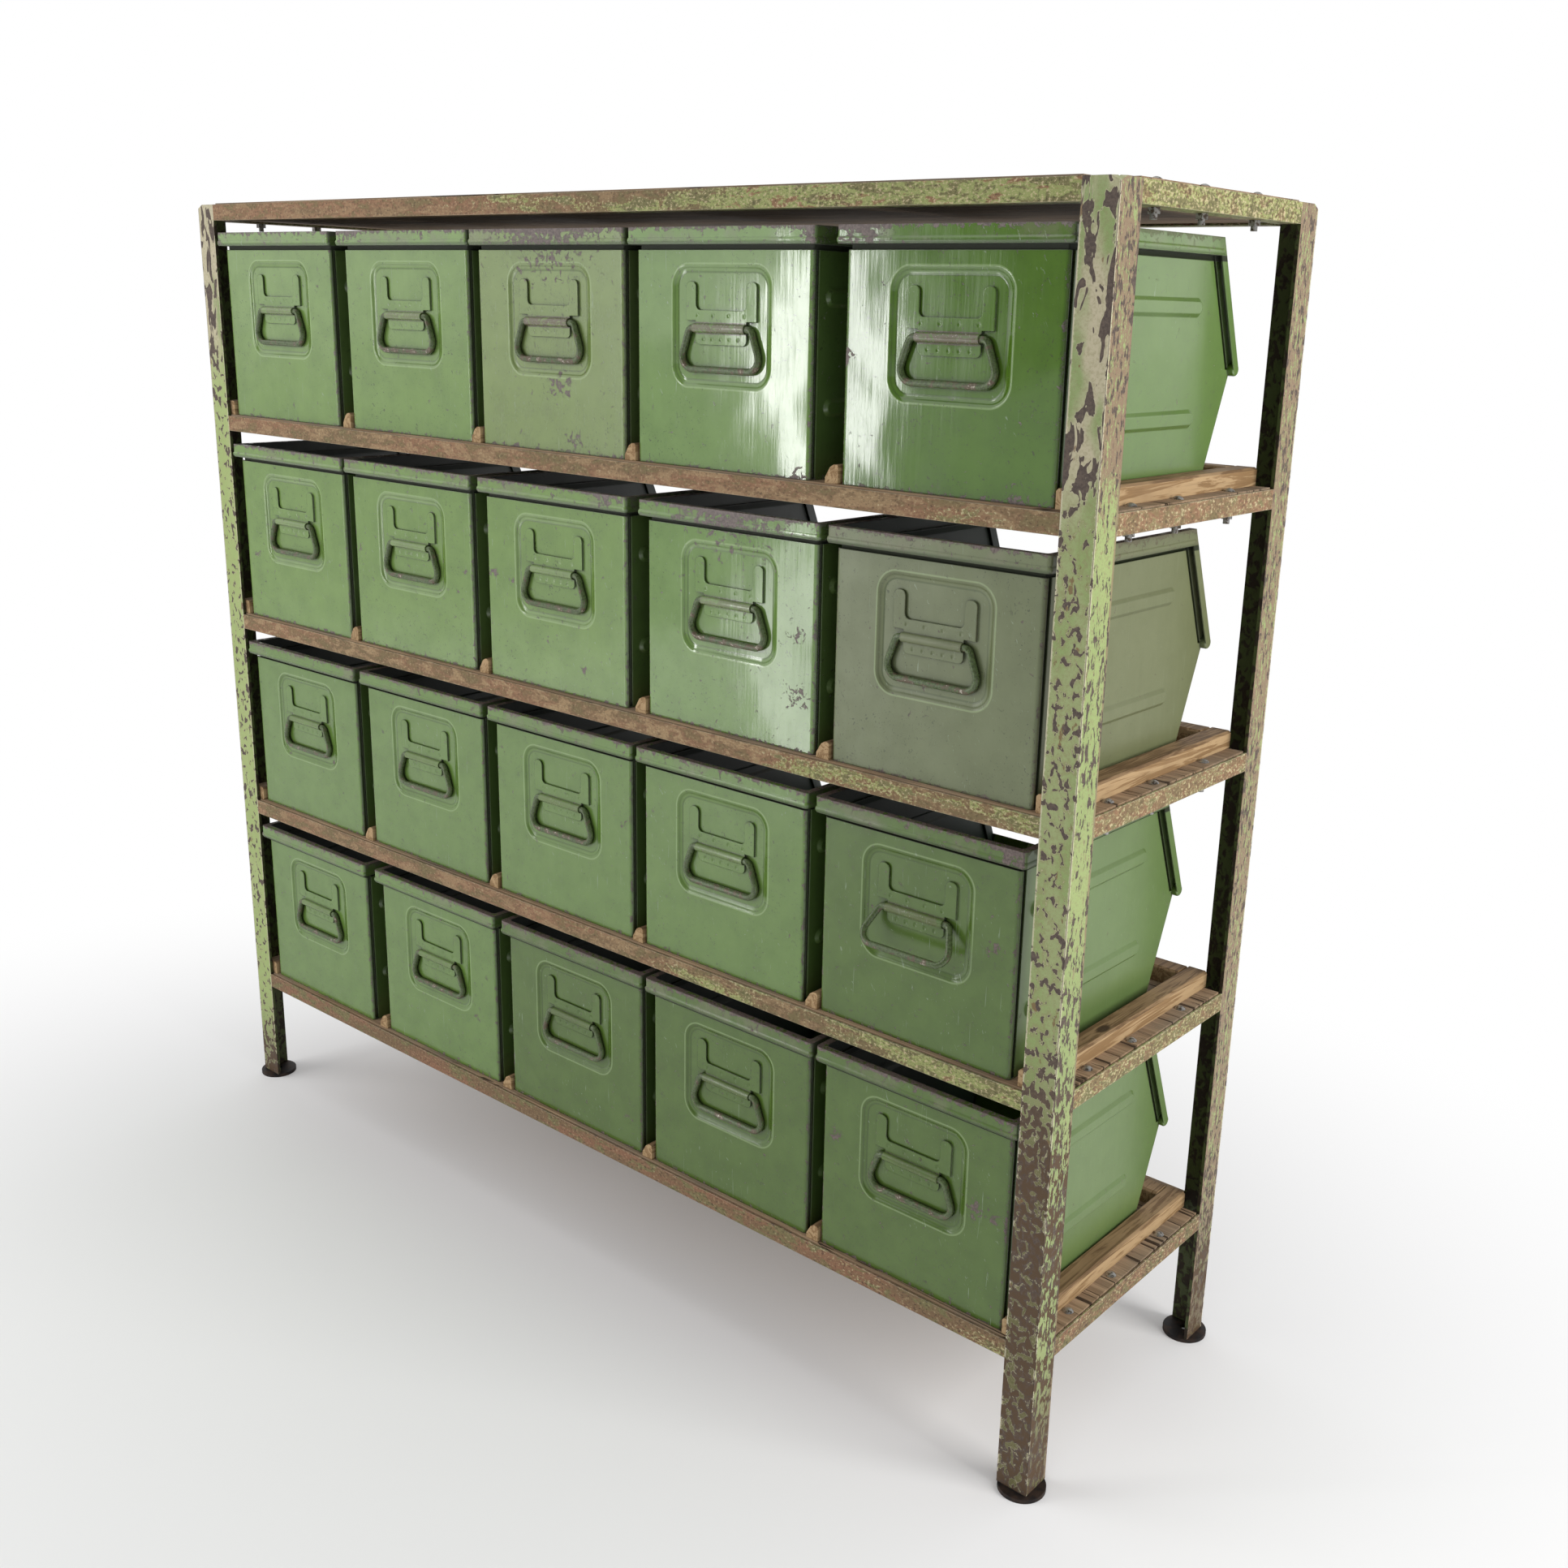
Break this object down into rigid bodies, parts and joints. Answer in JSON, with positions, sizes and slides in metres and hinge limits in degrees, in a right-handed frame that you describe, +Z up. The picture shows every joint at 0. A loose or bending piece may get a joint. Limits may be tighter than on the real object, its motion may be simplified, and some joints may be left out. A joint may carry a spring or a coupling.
{
  "type": "parts bin rack",
  "caption": "Open welded angle steel rack with plank shelves holding pressed steel storage bins, each pulled by a hinged wire handle and open at a sloping mouth",
  "frame": {"origin": "on the floor in the middle of the rack, at the bottom centre of the bounding box", "axes": "+X to the right along the rack, +Y from the handle side to the mouth side, +Z up"},
  "size_m": [1.777, 0.511, 1.594],
  "materials": {
    "frame_paint": "flaking pale green paint over rust",
    "foot_steel": "dark oxidised steel",
    "plank_wood": "old sawn planks",
    "batten_wood": "sawn strips",
    "bolt_steel": "dull zinc plate",
    "bin_green": "worn gloss green paint",
    "bin_olive": "worn olive paint",
    "wire_steel": "worn painted wire"
  },
  "bodies": {
    "rack": {"post_front_left": "frame_paint", "post_front_right": "frame_paint", "post_rear_left": "frame_paint", "post_rear_right": "frame_paint", "foot_discs": "foot_steel", "rails_top": "frame_paint", "boards_top": "plank_wood", "rails_shelf_1": "frame_paint", "boards_shelf_1": "plank_wood", "battens_shelf_1": "batten_wood", "rails_shelf_2": "frame_paint", "boards_shelf_2": "plank_wood", "battens_shelf_2": "batten_wood", "rails_shelf_3": "frame_paint", "boards_shelf_3": "plank_wood", "battens_shelf_3": "batten_wood", "rails_shelf_4": "frame_paint", "boards_shelf_4": "plank_wood", "battens_shelf_4": "batten_wood", "carriage_bolts": "bolt_steel"},
    "bin_r1_c1": {"bin_r1_c1": "bin_green"},
    "bail_r1_c1": {"bail_r1_c1": "wire_steel"},
    "bin_r1_c2": {"bin_r1_c2": "bin_green"},
    "bail_r1_c2": {"bail_r1_c2": "wire_steel"},
    "bin_r1_c3": {"bin_r1_c3": "bin_green"},
    "bail_r1_c3": {"bail_r1_c3": "wire_steel"},
    "bin_r1_c4": {"bin_r1_c4": "bin_green"},
    "bail_r1_c4": {"bail_r1_c4": "wire_steel"},
    "bin_r1_c5": {"bin_r1_c5": "bin_green"},
    "bail_r1_c5": {"bail_r1_c5": "wire_steel"},
    "bin_r2_c1": {"bin_r2_c1": "bin_green"},
    "bail_r2_c1": {"bail_r2_c1": "wire_steel"},
    "bin_r2_c2": {"bin_r2_c2": "bin_green"},
    "bail_r2_c2": {"bail_r2_c2": "wire_steel"},
    "bin_r2_c3": {"bin_r2_c3": "bin_green"},
    "bail_r2_c3": {"bail_r2_c3": "wire_steel"},
    "bin_r2_c4": {"bin_r2_c4": "bin_green"},
    "bail_r2_c4": {"bail_r2_c4": "wire_steel"},
    "bin_r2_c5": {"bin_r2_c5": "bin_olive"},
    "bail_r2_c5": {"bail_r2_c5": "wire_steel"},
    "bin_r3_c1": {"bin_r3_c1": "bin_green"},
    "bail_r3_c1": {"bail_r3_c1": "wire_steel"},
    "bin_r3_c2": {"bin_r3_c2": "bin_green"},
    "bail_r3_c2": {"bail_r3_c2": "wire_steel"},
    "bin_r3_c3": {"bin_r3_c3": "bin_green"},
    "bail_r3_c3": {"bail_r3_c3": "wire_steel"},
    "bin_r3_c4": {"bin_r3_c4": "bin_green"},
    "bail_r3_c4": {"bail_r3_c4": "wire_steel"},
    "bin_r3_c5": {"bin_r3_c5": "bin_green"},
    "bail_r3_c5": {"bail_r3_c5": "wire_steel"},
    "bin_r4_c1": {"bin_r4_c1": "bin_green"},
    "bail_r4_c1": {"bail_r4_c1": "wire_steel"},
    "bin_r4_c2": {"bin_r4_c2": "bin_green"},
    "bail_r4_c2": {"bail_r4_c2": "wire_steel"},
    "bin_r4_c3": {"bin_r4_c3": "bin_green"},
    "bail_r4_c3": {"bail_r4_c3": "wire_steel"},
    "bin_r4_c4": {"bin_r4_c4": "bin_green"},
    "bail_r4_c4": {"bail_r4_c4": "wire_steel"},
    "bin_r4_c5": {"bin_r4_c5": "bin_green"},
    "bail_r4_c5": {"bail_r4_c5": "wire_steel"}
  },
  "joints": [
    {"name": "pull_out_r1_c1", "type": "slide", "parent": "rack", "child": "bin_r1_c1", "axis": [0, -1, 0], "range_m": [0, 0.43]},
    {"name": "swing_r1_c1", "type": "hinge", "parent": "bin_r1_c1", "child": "bail_r1_c1", "pos_m": [-0.66688, -0.23005, 1.423], "axis": [-1, 0, 0], "range_deg": [0, 150]},
    {"name": "pull_out_r1_c2", "type": "slide", "parent": "rack", "child": "bin_r1_c2", "axis": [0, -1, 0], "range_m": [0, 0.43]},
    {"name": "swing_r1_c2", "type": "hinge", "parent": "bin_r1_c2", "child": "bail_r1_c2", "pos_m": [-0.32976, -0.23005, 1.423], "axis": [-1, 0, 0], "range_deg": [0, 150]},
    {"name": "pull_out_r1_c3", "type": "slide", "parent": "rack", "child": "bin_r1_c3", "axis": [0, -1, 0], "range_m": [0, 0.43]},
    {"name": "swing_r1_c3", "type": "hinge", "parent": "bin_r1_c3", "child": "bail_r1_c3", "pos_m": [-0.00704, -0.23005, 1.423], "axis": [-1, 0, 0], "range_deg": [0, 150]},
    {"name": "pull_out_r1_c4", "type": "slide", "parent": "rack", "child": "bin_r1_c4", "axis": [0, -1, 0], "range_m": [0, 0.43]},
    {"name": "swing_r1_c4", "type": "hinge", "parent": "bin_r1_c4", "child": "bail_r1_c4", "pos_m": [0.31696, -0.23005, 1.423], "axis": [-1, 0, 0], "range_deg": [0, 150]},
    {"name": "pull_out_r1_c5", "type": "slide", "parent": "rack", "child": "bin_r1_c5", "axis": [0, -1, 0], "range_m": [0, 0.43]},
    {"name": "swing_r1_c5", "type": "hinge", "parent": "bin_r1_c5", "child": "bail_r1_c5", "pos_m": [0.66592, -0.23005, 1.423], "axis": [-1, 0, 0], "range_deg": [0, 150]},
    {"name": "pull_out_r2_c1", "type": "slide", "parent": "rack", "child": "bin_r2_c1", "axis": [0, -1, 0], "range_m": [0, 0.43]},
    {"name": "swing_r2_c1", "type": "hinge", "parent": "bin_r2_c1", "child": "bail_r2_c1", "pos_m": [-0.66688, -0.23005, 1.079], "axis": [-1, 0, 0], "range_deg": [0, 150]},
    {"name": "pull_out_r2_c2", "type": "slide", "parent": "rack", "child": "bin_r2_c2", "axis": [0, -1, 0], "range_m": [0, 0.43]},
    {"name": "swing_r2_c2", "type": "hinge", "parent": "bin_r2_c2", "child": "bail_r2_c2", "pos_m": [-0.34192, -0.23005, 1.079], "axis": [-1, 0, 0], "range_deg": [0, 150]},
    {"name": "pull_out_r2_c3", "type": "slide", "parent": "rack", "child": "bin_r2_c3", "axis": [0, -1, 0], "range_m": [0, 0.43]},
    {"name": "swing_r2_c3", "type": "hinge", "parent": "bin_r2_c3", "child": "bail_r2_c3", "pos_m": [-0.00704, -0.23005, 1.079], "axis": [-1, 0, 0], "range_deg": [0, 150]},
    {"name": "pull_out_r2_c4", "type": "slide", "parent": "rack", "child": "bin_r2_c4", "axis": [0, -1, 0], "range_m": [0, 0.43]},
    {"name": "swing_r2_c4", "type": "hinge", "parent": "bin_r2_c4", "child": "bail_r2_c4", "pos_m": [0.33392, -0.23005, 1.079], "axis": [-1, 0, 0], "range_deg": [0, 150]},
    {"name": "pull_out_r2_c5", "type": "slide", "parent": "rack", "child": "bin_r2_c5", "axis": [0, -1, 0], "range_m": [0, 0.43]},
    {"name": "swing_r2_c5", "type": "hinge", "parent": "bin_r2_c5", "child": "bail_r2_c5", "pos_m": [0.66304, -0.23005, 1.079], "axis": [-1, 0, 0], "range_deg": [0, 150]},
    {"name": "pull_out_r3_c1", "type": "slide", "parent": "rack", "child": "bin_r3_c1", "axis": [0, -1, 0], "range_m": [0, 0.43]},
    {"name": "swing_r3_c1", "type": "hinge", "parent": "bin_r3_c1", "child": "bail_r3_c1", "pos_m": [-0.66496, -0.23005, 0.735], "axis": [-1, 0, 0], "range_deg": [0, 150]},
    {"name": "pull_out_r3_c2", "type": "slide", "parent": "rack", "child": "bin_r3_c2", "axis": [0, -1, 0], "range_m": [0, 0.43]},
    {"name": "swing_r3_c2", "type": "hinge", "parent": "bin_r3_c2", "child": "bail_r3_c2", "pos_m": [-0.332, -0.23005, 0.735], "axis": [-1, 0, 0], "range_deg": [0, 150]},
    {"name": "pull_out_r3_c3", "type": "slide", "parent": "rack", "child": "bin_r3_c3", "axis": [0, -1, 0], "range_m": [0, 0.43]},
    {"name": "swing_r3_c3", "type": "hinge", "parent": "bin_r3_c3", "child": "bail_r3_c3", "pos_m": [-0.00096, -0.23005, 0.735], "axis": [-1, 0, 0], "range_deg": [0, 150]},
    {"name": "pull_out_r3_c4", "type": "slide", "parent": "rack", "child": "bin_r3_c4", "axis": [0, -1, 0], "range_m": [0, 0.43]},
    {"name": "swing_r3_c4", "type": "hinge", "parent": "bin_r3_c4", "child": "bail_r3_c4", "pos_m": [0.32496, -0.23005, 0.735], "axis": [-1, 0, 0], "range_deg": [0, 150]},
    {"name": "pull_out_r3_c5", "type": "slide", "parent": "rack", "child": "bin_r3_c5", "axis": [0, -1, 0], "range_m": [0, 0.43]},
    {"name": "swing_r3_c5", "type": "hinge", "parent": "bin_r3_c5", "child": "bail_r3_c5", "pos_m": [0.65504, -0.23005, 0.735], "axis": [-1, 0, 0], "range_deg": [-30, 120]},
    {"name": "pull_out_r4_c1", "type": "slide", "parent": "rack", "child": "bin_r4_c1", "axis": [0, -1, 0], "range_m": [0, 0.43]},
    {"name": "swing_r4_c1", "type": "hinge", "parent": "bin_r4_c1", "child": "bail_r4_c1", "pos_m": [-0.66592, -0.23005, 0.391], "axis": [-1, 0, 0], "range_deg": [0, 150]},
    {"name": "pull_out_r4_c2", "type": "slide", "parent": "rack", "child": "bin_r4_c2", "axis": [0, -1, 0], "range_m": [0, 0.43]},
    {"name": "swing_r4_c2", "type": "hinge", "parent": "bin_r4_c2", "child": "bail_r4_c2", "pos_m": [-0.31984, -0.23005, 0.391], "axis": [-1, 0, 0], "range_deg": [0, 150]},
    {"name": "pull_out_r4_c3", "type": "slide", "parent": "rack", "child": "bin_r4_c3", "axis": [0, -1, 0], "range_m": [0, 0.43]},
    {"name": "swing_r4_c3", "type": "hinge", "parent": "bin_r4_c3", "child": "bail_r4_c3", "pos_m": [0.016, -0.23005, 0.391], "axis": [-1, 0, 0], "range_deg": [0, 150]},
    {"name": "pull_out_r4_c4", "type": "slide", "parent": "rack", "child": "bin_r4_c4", "axis": [0, -1, 0], "range_m": [0, 0.43]},
    {"name": "swing_r4_c4", "type": "hinge", "parent": "bin_r4_c4", "child": "bail_r4_c4", "pos_m": [0.34192, -0.23005, 0.391], "axis": [-1, 0, 0], "range_deg": [0, 150]},
    {"name": "pull_out_r4_c5", "type": "slide", "parent": "rack", "child": "bin_r4_c5", "axis": [0, -1, 0], "range_m": [0, 0.43]},
    {"name": "swing_r4_c5", "type": "hinge", "parent": "bin_r4_c5", "child": "bail_r4_c5", "pos_m": [0.66688, -0.23005, 0.391], "axis": [-1, 0, 0], "range_deg": [0, 150]}
  ]
}
